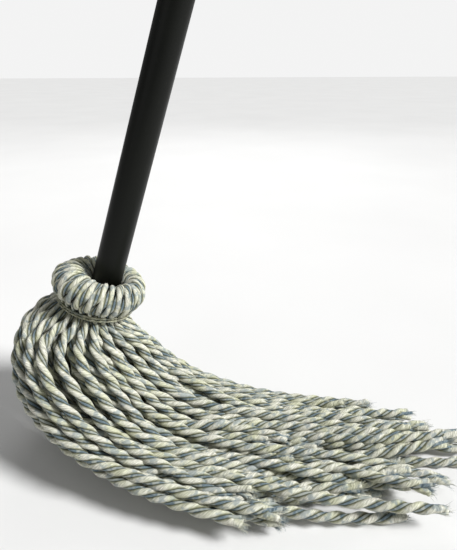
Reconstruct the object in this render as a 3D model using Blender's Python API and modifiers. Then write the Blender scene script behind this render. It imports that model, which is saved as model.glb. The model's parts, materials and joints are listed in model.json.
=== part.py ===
"""Deck-style string mop: leaning tube handle, folded yarn collar, bound neck and a swept skirt of yarn strands.

Metres, +Z up, floor at z = 0. The handle leans in the XZ plane towards +X and the skirt is swept along the
floor towards +X. Everything on the handle is built on a local w axis, with w = 0 at the middle of the collar.
"""

import math

import bmesh
import bpy
import numpy as np
from mathutils import Matrix, Vector

# Where the middle of the collar stands and how the handle leans
COLLAR_X = -0.1572
COLLAR_Y = 0.0612
COLLAR_HEIGHT = 0.122
LEAN = math.radians(18.5)

# Handle, which stands a little off the collar's middle towards the sweep
HANDLE_OFFSET = 0.0045
HANDLE_TOP = 1.150
TUBE_RADIUS = 0.0119
TUBE_WALL = 0.0011
TUBE_SIDES = 36
TUBE_BOTTOM = -0.0125
FIT_GAP = 0.0003
CAP_DEPTH = 0.0300
CAP_FLANGE = 0.0040
TAB_HALF_WIDTH = 0.0105
TAB_HALF_THICKNESS = 0.0030
TAB_STRAIGHT = 0.0190
HANG_HOLE_RADIUS = 0.0045
PLUG_DEPTH = 0.0520
PIN_HEIGHT = 0.0200
PIN_RADIUS = 0.0015

# Collar of yarns folded over the binding wire, and the waist below it
WAIST = -0.0190
COLLAR_RADIUS = 0.0380
FOLD_PAIRS = 13
FOLD_GAP = 0.0009
FOLD_MIDDLE = 0.0030
FOLD_RISE = 0.0105
FOLD_SLANT = math.radians(34.0)
FOLD_ARC = math.radians(240.0)
YARN_IN_COLLAR = 0.0062

# Bound roots of the skirt under the waist: a barrel that runs into a ball about the pivot of the skirt
NECK_RADIUS = 0.0255
NECK_BALL = 0.0300
PIVOT = WAIST - 0.0260
CLEARANCE = 0.0005
ROOT_RISE = 0.0030
ROOT_STATIONS = 12
KNOT_STEP = 3
STRAIGHTEN_ROUNDS = 120

# Strands: rings at the waist, spacing, and the section of the skirt from dome to fan
OUTER_STRANDS = 26
INNER_RINGS = ((9, 0.0140), (3, 0.0055))
STRAND_RADIUS = 0.0034
STRAND_SPACING = 0.0077
SQUEEZED_SPACING = 0.0055
SPARE_SPACING = 0.0003
WAIST_RING = 0.0255
DOME_RADIUS = 0.0575
DOME_RUN = 0.025
FLATTEN_FROM = 0.040
FLATTEN_TO = 0.138
FAN_HALF_WIDTH = 0.0650
FAN_HALF_THICKNESS = 0.0110

# Middle line of the skirt from the waist to past the tips, measured from the collar's foot on the floor
SWEEP = (
    (-0.0060, 0.0000, 0.1040),
    (-0.0155, -0.0020, 0.0820),
    (-0.0100, -0.0220, 0.0540),
    (0.0380, -0.0560, 0.0310),
    (0.1020, -0.0880, 0.0190),
    (0.1680, -0.1050, 0.0140),
    (0.2350, -0.1180, 0.0120),
    (0.3200, -0.1340, 0.0110),
)
LAID_LENGTH = 0.340
LENGTH_SPREAD = 0.013
TRIM_FAR = 0.070
TRIM_NEAR = 0.050

# How the strands settle: they wander, push each other apart and are smoothed along their length
SEED = 11
STATIONS = 64
SETTLE_ROUNDS = 40
EASE_ROUNDS = 60
SMOOTH_ROUNDS = 40
HELD_STATIONS = 3
REACH = 4
LEVEL_FROM = 0.100
LOWEST_MIDDLE = 0.0046
WANDER = 0.0021
WANDER_LENGTHS = (0.045, 0.075)
BIGGEST_PUSH = 0.0015


# ---------------------------------------------------------------- helpers

def empty_scene():
    for ob in list(bpy.data.objects):
        bpy.data.objects.remove(ob, do_unlink=True)


def new_collection(name):
    collection = bpy.data.collections.new(name)
    bpy.context.scene.collection.children.link(collection)
    return collection


def material(name, colour, roughness, metallic=0.0):
    mat = bpy.data.materials.new(name)
    mat.use_nodes = True
    shader = mat.node_tree.nodes["Principled BSDF"]
    shader.inputs["Base Color"].default_value = (*colour, 1.0)
    shader.inputs["Roughness"].default_value = roughness
    shader.inputs["Metallic"].default_value = metallic
    mat.diffuse_color = (*colour, 1.0)
    return mat


def object_from(mesh, name, mat, smooth=True, collection=None):
    mesh.materials.clear()
    mesh.materials.append(mat)
    for face in mesh.polygons:
        face.use_smooth = smooth
    ob = bpy.data.objects.new(name, mesh)
    (collection or MOP).objects.link(ob)
    return ob


def mesh_from(bm, name):
    bmesh.ops.recalc_face_normals(bm, faces=bm.faces)
    mesh = bpy.data.meshes.new(name)
    bm.to_mesh(mesh)
    bm.free()
    return mesh


def place(ob, frame, turn=0.0, height=0.0):
    """Place an object on a leaning axis, with its origin at a height from the collar's middle."""
    ob.matrix_world = frame @ Matrix.Translation((0, 0, height)) @ Matrix.Rotation(turn, 4, "Z")
    return ob


def turned(profile, sides, name, mat, closed=False):
    """A body of revolution about local Z from (radius, height) points, given top to bottom on its outer side."""
    count = len(profile)
    edges = [(i, i + 1) for i in range(count - 1)]
    if closed:
        edges.append((count - 1, 0))
    mesh = bpy.data.meshes.new(name)
    mesh.from_pydata([(radius, 0.0, height) for radius, height in profile], edges, [])
    ob = object_from(mesh, name, mat)
    screw = ob.modifiers.new("turn", "SCREW")
    screw.axis = "Z"
    screw.steps = sides
    screw.render_steps = sides
    screw.use_merge_vertices = True
    screw.merge_threshold = 0.00001
    return place(ob, HANDLE_FRAME)


def mesh_of_curve(curve):
    """The closed mesh of a curve, with the loose edges of its caps welded."""
    source = bpy.data.objects.new(curve.name, curve)
    MOP.objects.link(source)
    bpy.context.view_layer.update()
    mesh = bpy.data.meshes.new_from_object(source.evaluated_get(bpy.context.evaluated_depsgraph_get()))
    bpy.data.objects.remove(source, do_unlink=True)
    bm = bmesh.new()
    bm.from_mesh(mesh)
    bpy.data.meshes.remove(mesh)
    bmesh.ops.remove_doubles(bm, verts=bm.verts, dist=0.00001)
    return mesh_from(bm, curve.name)


def cord_along(points, radius, name):
    """The mesh of a round cord with closed ends along a polyline."""
    curve = bpy.data.curves.new(name, "CURVE")
    curve.dimensions = "3D"
    curve.bevel_depth = radius
    curve.bevel_resolution = 2
    curve.use_fill_caps = True
    spline = curve.splines.new("POLY")
    spline.points.add(len(points) - 1)
    for knot, place in zip(spline.points, points):
        knot.co = (*place, 1.0)
    return mesh_of_curve(curve)


def boolean(ob, other, operation):
    """Join or cut an object with another solid, which is kept as a hidden wire cutter."""
    modifier = ob.modifiers.new(other.name, "BOOLEAN")
    modifier.operation = operation
    modifier.solver = "EXACT"
    modifier.object = other
    other.hide_render = True
    other.display_type = "WIRE"


def rod(radius, length, sides, name, mat, collection):
    """A plain rod along local Z, centred on its middle."""
    bm = bmesh.new()
    bmesh.ops.create_cone(bm, cap_ends=True, segments=sides, radius1=radius, radius2=radius, depth=length)
    return object_from(mesh_from(bm, name), name, mat, True, collection)


# ---------------------------------------------------------------- handle

def handle_tube():
    bore = TUBE_RADIUS - TUBE_WALL
    profile = [(TUBE_RADIUS, HANDLE_TOP), (TUBE_RADIUS, TUBE_BOTTOM), (bore, TUBE_BOTTOM), (bore, HANDLE_TOP)]
    return turned(profile, TUBE_SIDES, "handle_tube", BLACK_PAINT, closed=True)


def hanger_cap():
    """Plug in the top of the tube with a flange and a flat tab, which has a hole to hang the mop by."""
    plug = TUBE_RADIUS - TUBE_WALL - FIT_GAP
    seat = HANDLE_TOP + FIT_GAP
    top = seat + CAP_FLANGE
    rim = TUBE_RADIUS + 0.0012
    profile = [
        (0.0, top),
        (TUBE_RADIUS, top),
        (rim, top - 0.0010),
        (rim, seat),
        (plug, seat),
        (plug, HANDLE_TOP - CAP_DEPTH + 0.0020),
        (plug - 0.0010, HANDLE_TOP - CAP_DEPTH),
        (0.0, HANDLE_TOP - CAP_DEPTH),
    ]
    cap = turned(profile, TUBE_SIDES, "hanger_cap", CAP_PLASTIC)
    tab = hang_tab(top - 0.0010)
    boolean(cap, tab, "UNION")
    hole = rod(HANG_HOLE_RADIUS, 4 * TAB_HALF_THICKNESS, 24, "hang_hole_cutter", CAP_PLASTIC, CUTTERS)
    hole.matrix_world = HANDLE_FRAME @ Matrix.Translation((0, 0, top + TAB_STRAIGHT)) @ ACROSS
    boolean(cap, hole, "DIFFERENCE")


def hang_tab(base):
    """A flat upright tab with a round top, facing local -Y and +Y."""
    straight = base + TAB_STRAIGHT
    outline = [(TAB_HALF_WIDTH, base), (TAB_HALF_WIDTH, straight)]
    steps = 12
    for i in range(1, steps):
        angle = math.pi * i / steps
        outline.append((TAB_HALF_WIDTH * math.cos(angle), straight + TAB_HALF_WIDTH * math.sin(angle)))
    outline += [(-TAB_HALF_WIDTH, straight), (-TAB_HALF_WIDTH, base)]
    curve = bpy.data.curves.new("cap_tab", "CURVE")
    curve.dimensions = "2D"
    curve.fill_mode = "BOTH"
    curve.extrude = TAB_HALF_THICKNESS
    spline = curve.splines.new("POLY")
    spline.points.add(len(outline) - 1)
    spline.use_cyclic_u = True
    for knot, (x, z) in zip(spline.points, outline):
        knot.co = (x, z, 0.0, 1.0)
    tab = object_from(mesh_of_curve(curve), "cap_tab", CAP_PLASTIC, False, CUTTERS)
    tab.matrix_world = HANDLE_FRAME @ ACROSS
    return tab


def end_plug():
    """Wooden plug in the tube's lower end, with a rim that covers the tube's edge."""
    bore = TUBE_RADIUS - TUBE_WALL - FIT_GAP
    rim = TUBE_RADIUS - 0.0002
    top = TUBE_BOTTOM + PLUG_DEPTH
    bottom = WAIST + CLEARANCE
    profile = [
        (0.0, top),
        (bore - 0.0015, top),
        (bore, top - 0.0020),
        (bore, TUBE_BOTTOM - FIT_GAP),
        (rim, TUBE_BOTTOM - FIT_GAP),
        (rim, bottom + 0.0008),
        (rim - 0.0008, bottom),
        (0.0, bottom),
    ]
    return turned(profile, TUBE_SIDES, "end_plug", PALE_WOOD)


def retaining_pin(tube, plug):
    """Steel pin across the tube and its plug, with the bore it needs in both."""
    across = HANDLE_FRAME @ Matrix.Translation((0, 0, PIN_HEIGHT)) @ ACROSS
    for owner in (tube, plug):
        bore = rod(PIN_RADIUS + FIT_GAP, 4 * TUBE_RADIUS, 16, f"{owner.name}_pin_bore", STEEL, CUTTERS)
        bore.matrix_world = across
        boolean(owner, bore, "DIFFERENCE")
    pin = rod(PIN_RADIUS, 2 * TUBE_RADIUS - 0.0004, 16, "retaining_pin", STEEL, MOP)
    pin.matrix_world = across


# ---------------------------------------------------------------- bindings and collar

def coil(name, mat, aside, radius, wire, turns, bottom, pitch, per_turn=18):
    """A ring of wire or cord with a few turns, centred a distance aside from the collar's axis."""
    count = int(turns * per_turn) + 1
    points = []
    for i in range(count):
        angle = math.tau * i / per_turn
        points.append((aside + radius * math.cos(angle), radius * math.sin(angle), bottom + pitch * i / per_turn))
    return place(object_from(cord_along(points, wire, name), name, mat), COLLAR_FRAME)


def fold_path(angle):
    """Middle of the yarn layer of the collar as (radius, height), up beside the handle and down to the waist.

    The handle stands aside in the collar, so the way from the handle to the outside depends on the angle.
    """
    half = YARN_IN_COLLAR / 2
    inner = TUBE_RADIUS + 0.0004 + half + HANDLE_OFFSET * math.cos(angle)
    outer = COLLAR_RADIUS - half
    middle = (inner + outer) / 2
    reach = (outer - inner) / 2
    foot = WAIST + 0.0004
    path = [(inner, foot)]
    steps = 8
    for i in range(steps + 1):
        turn = math.pi - FOLD_ARC * i / steps
        path.append((middle + reach * math.cos(turn), FOLD_MIDDLE + FOLD_RISE * math.sin(turn)))
    path.append((NECK_RADIUS + 0.0008, WAIST + 0.0090))
    path.append((NECK_RADIUS + 0.0005, foot))
    return path


def pair_section():
    """Outline of two yarns side by side, as (share of the pair's width, depth in half yarns)."""
    bumps = 8
    outside = [(k / bumps, 0.45 + 0.55 * abs(math.sin(math.tau * k / bumps))) for k in range(bumps + 1)]
    inside = [(share, -0.85) for share in (1.0, 0.5, 0.0)]
    return outside + inside


def fold_corner(i, angle, depth):
    """One corner of a fold: its place on the way over the collar, its angle and its depth in half yarns."""
    path = fold_path(angle)
    radius, height = path[i]
    last = len(path) - 1
    before = path[max(i - 1, 0)]
    after = path[min(i + 1, last)]
    along = Vector((after[0] - before[0], after[1] - before[1])).normalized()
    outward = Vector((-along.y, along.x))
    if i in (0, last):
        outward = Vector((-1.0 if i == 0 else 1.0, 0.0))
    r = radius + outward.x * depth * YARN_IN_COLLAR / 2
    return r * math.cos(angle), r * math.sin(angle), height + outward.y * depth * YARN_IN_COLLAR / 2


def fold_loop(i, last, first_angle):
    """Corners of a pair of yarns at one place on its way over the collar."""
    shift = first_angle - FOLD_SLANT * max(0.0, i / last - 0.25) / 0.75
    corners = []
    for share, depth in pair_section():
        radius = fold_path(shift)[i][0] - YARN_IN_COLLAR / 2
        gap = FOLD_GAP / radius
        angle = shift + gap / 2 + (math.tau / FOLD_PAIRS - gap) * share
        corners.append(fold_corner(i, angle, depth))
    return corners


def collar_fold(first_angle):
    """One pair of yarns lofted along the fold and slanted round the collar."""
    last = len(fold_path(0.0)) - 1
    bm = bmesh.new()
    loops = [[bm.verts.new(corner) for corner in fold_loop(i, last, first_angle)] for i in range(last + 1)]
    size = len(loops[0])
    for a, b in zip(loops, loops[1:]):
        for k in range(size):
            m = (k + 1) % size
            bm.faces.new((a[k], a[m], b[m], b[k]))
    bm.faces.new(list(reversed(loops[0])))
    bm.faces.new(loops[-1])
    return mesh_from(bm, "collar_fold")


def collar():
    for i in range(FOLD_PAIRS):
        fold = object_from(collar_fold(math.tau * i / FOLD_PAIRS), f"collar_fold_{i + 1:02d}", YARN)
        place(fold, COLLAR_FRAME)


def neck_bundle():
    """Bound roots of the skirt, built about the pivot that the skirt turns and swings on."""
    top = WAIST - CLEARANCE - PIVOT
    meeting = math.acos(NECK_RADIUS / NECK_BALL)
    profile = [(0.0, top), (NECK_RADIUS - 0.0010, top), (NECK_RADIUS, top - 0.0020)]
    steps = 10
    for i in range(steps):
        angle = meeting - (meeting + math.pi / 2) * i / steps
        profile.append((NECK_BALL * math.cos(angle), NECK_BALL * math.sin(angle)))
    profile.append((0.0, -NECK_BALL))
    place(turned(profile, TUBE_SIDES, "neck_bundle", YARN), COLLAR_FRAME, height=PIVOT)


# ---------------------------------------------------------------- skirt

def smooth_step(x, low, high):
    t = np.clip((x - low) / (high - low), 0.0, 1.0)
    return t * t * (3.0 - 2.0 * t)


def catmull(knots, parts):
    """Points on a smooth curve through knots, which have one extra knot at each end."""
    t = np.linspace(0.0, 1.0, parts, endpoint=False)[:, None]
    spans = []
    for a, b, c, d in zip(knots, knots[1:], knots[2:], knots[3:]):
        bend = (2 * a - 5 * b + 4 * c - d) * t ** 2 + (3 * b - a - 3 * c + d) * t ** 3
        spans.append(0.5 * (2 * b + (c - a) * t + bend))
    return np.concatenate(spans)


def run_along(points):
    """Distance along a polyline from its start to every point."""
    return np.concatenate([[0.0], np.cumsum(np.linalg.norm(np.diff(points, axis=0), axis=1))])


def spaced(points, places):
    """Points on a polyline at the given distances from its start."""
    run = run_along(points)
    return np.stack([np.interp(places, run, points[:, i]) for i in range(3)], axis=1)


def sweep_line():
    """Evenly spaced points, tangents and distances along the skirt's middle line."""
    knots = np.array(SWEEP)
    before = knots[0] + 0.030 * np.array((math.sin(LEAN), 0.0, math.cos(LEAN)))
    fine = catmull(np.vstack([before, knots, 2 * knots[-1] - knots[-2]]), 40)
    run = np.linspace(0.0, run_along(fine)[-1], STATIONS)
    line = spaced(fine, run)
    tangent = np.gradient(line, axis=0)
    tangent /= np.linalg.norm(tangent, axis=1)[:, None]
    return line, tangent, run


def section_axes(tangent):
    """Two axes across the line at every station, carried along without twist."""
    first = np.cross(tangent[0], (0.0, 1.0, 0.0))
    axes = []
    for t in tangent:
        first = first - t * np.dot(first, t)
        first /= np.linalg.norm(first)
        axes.append((first, np.cross(t, first)))
    return np.array(axes)


def section_size(run):
    """Half width and half thickness of the skirt at a distance from the waist: a dome, then a flat fan."""
    dome = WAIST_RING + (DOME_RADIUS - WAIST_RING) * smooth_step(run, 0.0, DOME_RUN)
    flat = smooth_step(run, FLATTEN_FROM, FLATTEN_TO)
    return dome + (FAN_HALF_WIDTH - DOME_RADIUS) * flat, dome + (FAN_HALF_THICKNESS - DOME_RADIUS) * flat


def yarn_gap(run):
    """Distance kept between the middles of two strands: they are squeezed together at the waist."""
    return SQUEEZED_SPACING + (STRAND_SPACING - SQUEEZED_SPACING) * smooth_step(run, 0.006, 0.024)


def first_section():
    """Strands at the waist: an outer ring and inner rings, as points across the handle's axis."""
    points = []
    for turn, (count, radius) in enumerate(((OUTER_STRANDS, WAIST_RING), *INNER_RINGS)):
        for i in range(count):
            angle = math.tau * (i + 0.5 * max(0, turn - 1)) / count
            points.append((radius * math.cos(angle), radius * math.sin(angle)))
    return np.array(points)


def settle(points, spacing, shape, slope, room):
    """Push strands in one section apart, keep them inside its outline and above the floor."""
    away = np.eye(len(points))
    steep = float(slope @ slope)
    for _ in range(SETTLE_ROUNDS):
        gap = points[:, None] - points[None]
        far = np.sqrt((gap ** 2).sum(2)) + away
        push = np.clip(spacing - far, 0.0, None) / far
        points = points + 0.42 * (gap * push[:, :, None]).sum(1)
        inward = points @ shape
        level = np.sqrt(np.maximum((points * inward).sum(1), 1e-9))
        back = np.clip(level - 1.0, 0.0, 0.25 * level) * level / (inward ** 2).sum(1)
        points = points - back[:, None] * inward
        if steep > 0.05:
            low = np.clip(-(room + points @ slope), 0.0, None)
            points = points + low[:, None] * slope / steep
    return points


def laid_strands():
    """Middle lines of all strands from the collar's foot, as strands by stations by three."""
    rng = np.random.default_rng(SEED)
    line, tangent, run = sweep_line()
    axes = section_axes(tangent)
    points = first_section()
    phase = rng.uniform(0.0, math.tau, (len(points), 2, 2))
    pace = rng.uniform(*WANDER_LENGTHS, (len(points), 2, 2))
    up = np.array((0.0, 0.0, 1.0))
    level_from = int(np.searchsorted(run, LEVEL_FROM))
    paths = []
    for k in range(STATIONS):
        level = max(k, level_from)
        across = np.cross(tangent[level], up)
        across /= np.linalg.norm(across)
        h = axes[level] @ across
        v = axes[level] @ np.cross(across, tangent[level])
        width, thickness = section_size(run[k])
        stretch = np.outer(h, h) * width + np.outer(v, v) * thickness
        if paths:
            points = points @ np.linalg.inv(before) @ stretch
        before = stretch
        drift = np.sin(phase + run[k] / pace).sum(axis=1)
        points = points + WANDER * smooth_step(run[k], 0.05, 0.16) * drift
        outline = np.linalg.inv(stretch @ stretch)
        spacing = yarn_gap(run[k]) + SPARE_SPACING
        points = settle(points, spacing, outline, axes[k] @ up, line[k][2] - LOWEST_MIDDLE)
        paths.append(line[k] + points @ axes[k])
    return ease(np.array(paths).transpose(1, 0, 2), run)


def pushes(paths, target):
    """How far each point should move sideways to stand clear of every other strand beside it."""
    stations = paths.shape[1]
    own = np.eye(len(paths), dtype=bool)[:, :, None]
    tangent = np.gradient(paths, axis=1)
    pitch = np.linalg.norm(tangent, axis=2)
    tangent = tangent / pitch[..., None]
    move = np.zeros_like(paths)
    for step in range(-REACH, REACH + 1):
        low, high = max(0, -step), min(stations, stations - step)
        gap = paths[:, low:high][:, None] - paths[:, low + step:high + step][None]
        along = np.einsum("ijkc,ikc->ijk", gap, tangent[:, low:high])
        gap = gap - along[..., None] * tangent[:, None, low:high]
        beside = np.abs(along) < 0.6 * pitch[:, None, low:high]
        far = np.sqrt((gap ** 2).sum(3)) + 1e-9
        push = np.clip(target[None, None, low:high] - far, 0.0, None) / far
        push = np.where(beside & ~own, push, 0.0)
        move[:, low:high] += 0.30 * (gap * push[..., None]).sum(1)
    return np.clip(move, -BIGGEST_PUSH, BIGGEST_PUSH)


def ease(paths, run):
    """Smooth the strands along their length while neighbours push each other apart."""
    moving = (np.arange(1, STATIONS - 1) >= HELD_STATIONS)[None, :, None]
    centre = paths.mean(axis=0)
    for turn in range(EASE_ROUNDS):
        if turn < SMOOTH_ROUNDS and turn % 4 == 0:
            off = paths - centre
            sag = 0.5 * (off[:, :-2] + off[:, 2:]) - off[:, 1:-1]
            paths[:, 1:-1] += 0.5 * sag * moving
        move = pushes(paths, yarn_gap(run))
        move[:, :HELD_STATIONS] = 0.0
        paths = paths + move
        paths[:, :, 2] = np.maximum(paths[:, :, 2], STRAND_RADIUS)
    return paths


def strand_lengths(paths):
    """Length of every strand from the waist: shorter towards both edges of the fan, and uneven."""
    rng = np.random.default_rng(SEED + 1)
    aside = paths[:, -1, 1] - paths[:, -1, 1].mean()
    share = aside / np.abs(aside).max()
    trim = np.where(share > 0, TRIM_FAR, TRIM_NEAR) * np.abs(share) ** 1.5
    return LAID_LENGTH - trim + rng.uniform(-LENGTH_SPREAD, LENGTH_SPREAD, len(paths))


def straightened(paths, run):
    """The strands with straight runs between every few stations, still standing clear of each other."""
    knots = np.arange(0, STATIONS, KNOT_STEP)
    blend = np.zeros((STATIONS, len(knots)))
    for k in range(STATIONS):
        left = min(k // KNOT_STEP, len(knots) - 2)
        share = (k - knots[left]) / KNOT_STEP
        blend[k, left] = 1.0 - share
        blend[k, left + 1] = share
    weight = blend.sum(0)[None, :, None]
    coarse = paths[:, knots]
    for _ in range(STRAIGHTEN_ROUNDS):
        move = pushes(np.einsum("ks,nsi->nki", blend, coarse), yarn_gap(run))
        coarse[:, 1:] += 2.0 * np.einsum("ks,nki->nsi", blend, move)[:, 1:] / weight[:, 1:]
        coarse[:, :, 2] = np.maximum(coarse[:, :, 2], STRAND_RADIUS)
    return np.einsum("ks,nsi->nki", blend, coarse)


def strand_between(path, start, length):
    """The corners of one strand from a station to where its length from the waist ends."""
    run = run_along(path)
    end = int(np.searchsorted(run, length))
    share = (length - run[end - 1]) / (run[end] - run[end - 1])
    tip = path[end - 1] + share * (path[end] - path[end - 1])
    corners = [k for k in range(start + 1, end) if k % KNOT_STEP == 0]
    if corners and corners[-1] == end - 1:
        corners.pop()
    return np.array([path[start], *(path[k] for k in corners), tip])


def skirt():
    """Every strand of the skirt as its own cord, from beside the neck bundle to its tip."""
    pivot = COLLAR_FRAME @ Vector((0, 0, PIVOT))
    down = np.array(COLLAR_FRAME.to_3x3() @ Vector((0, 0, -1)))
    paths = laid_strands()
    lengths = strand_lengths(paths)
    run = sweep_line()[2]
    paths = straightened(paths, run) + np.array((COLLAR.x, COLLAR.y, 0.0)) - np.array(pivot)
    keep_out = NECK_BALL + STRAND_RADIUS + 2 * CLEARANCE
    for i, path in enumerate(paths):
        root = path[:ROOT_STATIONS]
        near = (np.linalg.norm(root, axis=1) < keep_out) | (root @ down < -ROOT_RISE)
        start = int(np.flatnonzero(near)[-1]) + 1
        name = f"strand_{i + 1:02d}"
        mesh = cord_along(strand_between(path, start, lengths[i]), STRAND_RADIUS, name)
        strand = object_from(mesh, name, YARN)
        strand.location = pivot


# ---------------------------------------------------------------- build

empty_scene()
MOP = new_collection("string_mop")
CUTTERS = new_collection("cutters")
COLLAR = Vector((COLLAR_X, COLLAR_Y, COLLAR_HEIGHT))
COLLAR_FRAME = Matrix.Translation(COLLAR) @ Matrix.Rotation(LEAN, 4, "Y")
HANDLE_FRAME = COLLAR_FRAME @ Matrix.Translation((HANDLE_OFFSET, 0, 0))
ACROSS = Matrix.Rotation(math.pi / 2, 4, "X")

BLACK_PAINT = material("black_paint", (0.022, 0.022, 0.018), 0.42)
CAP_PLASTIC = material("cap_plastic", (0.015, 0.015, 0.016), 0.50)
PALE_WOOD = material("pale_wood", (0.62, 0.46, 0.29), 0.70)
STEEL = material("bright_steel", (0.60, 0.60, 0.58), 0.32, 1.0)
GALVANISED = material("galvanised_wire", (0.52, 0.54, 0.55), 0.45, 1.0)
CORD = material("cream_cord", (0.74, 0.70, 0.58), 0.90)
YARN = material("blended_yarn", (0.55, 0.56, 0.50), 0.92)

TUBE = handle_tube()
hanger_cap()
PLUG = end_plug()
retaining_pin(TUBE, PLUG)
coil("binding_wire", GALVANISED, HANDLE_OFFSET / 2, 0.0225, 0.0008, 4.0, -0.0025, 0.0022)
collar()
coil("waist_cord", CORD, 0.0, 0.0311, 0.0013, 2.0, WAIST + 0.0016, 0.0027, 20)
neck_bundle()
skirt()
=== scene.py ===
import json
import math

import bpy
import numpy as np
from mathutils import Matrix, Vector


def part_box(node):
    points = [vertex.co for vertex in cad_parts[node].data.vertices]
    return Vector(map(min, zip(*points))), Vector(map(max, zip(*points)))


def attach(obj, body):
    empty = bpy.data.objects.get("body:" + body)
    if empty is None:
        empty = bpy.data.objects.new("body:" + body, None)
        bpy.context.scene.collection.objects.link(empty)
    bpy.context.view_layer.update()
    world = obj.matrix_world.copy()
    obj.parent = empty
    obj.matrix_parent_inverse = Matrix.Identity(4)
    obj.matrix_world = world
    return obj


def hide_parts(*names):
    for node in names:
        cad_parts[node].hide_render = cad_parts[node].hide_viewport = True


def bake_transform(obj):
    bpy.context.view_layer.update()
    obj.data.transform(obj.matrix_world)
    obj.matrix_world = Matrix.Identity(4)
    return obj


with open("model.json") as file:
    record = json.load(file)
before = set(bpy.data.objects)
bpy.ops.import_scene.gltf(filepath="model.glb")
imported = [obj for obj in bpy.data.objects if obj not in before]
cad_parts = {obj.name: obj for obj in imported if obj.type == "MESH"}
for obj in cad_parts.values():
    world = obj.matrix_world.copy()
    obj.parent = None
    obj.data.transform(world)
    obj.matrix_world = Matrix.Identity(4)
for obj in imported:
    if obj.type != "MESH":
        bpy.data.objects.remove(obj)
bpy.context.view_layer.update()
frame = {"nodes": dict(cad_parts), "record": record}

# Handle axis, taken from the joint that turns the skirt round it
JOINTS = {joint["name"]: joint for joint in frame["record"]["behaviour"]["joints"]}
PIVOT = Vector(JOINTS["skirt_turn"]["pos_m"])
UP_HANDLE = Vector(JOINTS["skirt_turn"]["axis"]).normalized()
PIVOT_BELOW_COLLAR = 0.0450
COLLAR = PIVOT + UP_HANDLE * PIVOT_BELOW_COLLAR
LEAN = math.radians(18.5)
COLLAR_FRAME = Matrix.Translation(COLLAR) @ Matrix.Rotation(LEAN, 4, "Y")
HANDLE_OFFSET = 0.0045
HANDLE_FRAME = COLLAR_FRAME @ Matrix.Translation((HANDLE_OFFSET, 0, 0))

# Sizes of the collar and the waist, measured along the handle from the collar's middle
TUBE_RADIUS = 0.0119
TUBE_WALL = 0.0011
TUBE_BOTTOM = -0.0125
WAIST = -0.0190
COLLAR_RADIUS = 0.0380
FOLD_MIDDLE = 0.0030
FOLD_RISE = 0.0105
FOLD_THICKNESS = 0.0062
FOLD_PAIRS = 13

# Path of a yarn over the collar: its steps, its slant round the handle and the arc it covers
FOLD_STEPS = 14
FOLD_SLANT = math.radians(34.0)
FOLD_ARC = math.radians(240.0)
TUBE_CLEARANCE = 0.0004
# Where a fold tucks in under the collar: past the waist ring, and above the waist
TUCKS = ((0.0010, 0.0080), (0.0000, 0.0040))

# Yarn: its size, its slow changes of twist and of thickness as (share, length), and where it is cut
YARN_RADIUS = 0.0041
TWIST_PITCH = 0.0310
RING_STEP = 0.0017
PARTS = 8
LOOSENING = ((0.080, 0.0430), (0.050, 0.0190))
SWELLING = ((0.035, 0.0270), (0.030, 0.0093))
ROOT_DEPTH = 0.022

# The skirt's layout counts from the collar's foot
FOOT = np.array((COLLAR.x, COLLAR.y, 0.0))

# Strands: rings at the waist, spacing, and the section of the skirt from dome to fan
OUTER_STRANDS = 26
INNER_RINGS = ((9, 0.0140), (3, 0.0055))
STRAND_RADIUS = 0.0034
STRAND_SPACING = 0.0077
SQUEEZED_SPACING = 0.0055
SPARE_SPACING = 0.0003
WAIST_RING = 0.0255
DOME_RADIUS = 0.0575
DOME_RUN = 0.025
FLATTEN_FROM = 0.040
FLATTEN_TO = 0.138
FAN_HALF_WIDTH = 0.0650
FAN_HALF_THICKNESS = 0.0110

# Middle line of the skirt from the waist to past the tips, from the collar's foot on the floor
SWEEP = (
    (-0.0060, 0.0000, 0.1040),
    (-0.0155, -0.0020, 0.0820),
    (-0.0100, -0.0220, 0.0540),
    (0.0380, -0.0560, 0.0310),
    (0.1020, -0.0880, 0.0190),
    (0.1680, -0.1050, 0.0140),
    (0.2350, -0.1180, 0.0120),
    (0.3200, -0.1340, 0.0110),
)
LAID_LENGTH = 0.340
LENGTH_SPREAD = 0.013
TRIM_FAR = 0.070
TRIM_NEAR = 0.050

# How the strands settle: they wander, push each other apart and are smoothed along their length
SEED = 11
STATIONS = 64
SETTLE_ROUNDS = 40
EASE_ROUNDS = 60
SMOOTH_ROUNDS = 40
HELD_STATIONS = 3
REACH = 4
LEVEL_FROM = 0.100
LOWEST_MIDDLE = 0.0046
WANDER = 0.0021
WANDER_LENGTHS = (0.045, 0.075)
BIGGEST_PUSH = 0.0015

# Extra yarns that fill the skirt, and the smoothing of all yarns: more of it inside the bend,
# which is the side that INSIDE_WAY points to, and past STRAIGHT_RUN
FILL_SHARE = 0.84
FILL_ROUNDS = 30
FILL_SHORTER = (0.004, 0.030)
KEPT_SMOOTHING = 9
FULL_SMOOTHING = 26
INSIDE_WAY = (0.8, -0.6)
INSIDE_FROM = 0.000
INSIDE_TO = 0.018
STRAIGHT_RUN = (0.110, 0.180)


# ---------------------------------------------------------------- lay of the strands

def smooth_step(x, low, high):
    """0 below low, 1 above high, and an even S between them."""
    t = np.clip((x - low) / (high - low), 0.0, 1.0)
    return t * t * (3.0 - 2.0 * t)


def catmull(knots, parts):
    """Points on a smooth curve through knots, which have one extra knot at each end."""
    t = np.linspace(0.0, 1.0, parts, endpoint=False)[:, None]
    spans = []
    for a, b, c, d in zip(knots, knots[1:], knots[2:], knots[3:]):
        bend = (2 * a - 5 * b + 4 * c - d) * t ** 2 + (3 * b - a - 3 * c + d) * t ** 3
        spans.append(0.5 * (2 * b + (c - a) * t + bend))
    return np.concatenate(spans)


def run_along(points):
    """Distance along a polyline from its start to every point."""
    return np.concatenate([[0.0], np.cumsum(np.linalg.norm(np.diff(points, axis=0), axis=1))])


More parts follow.
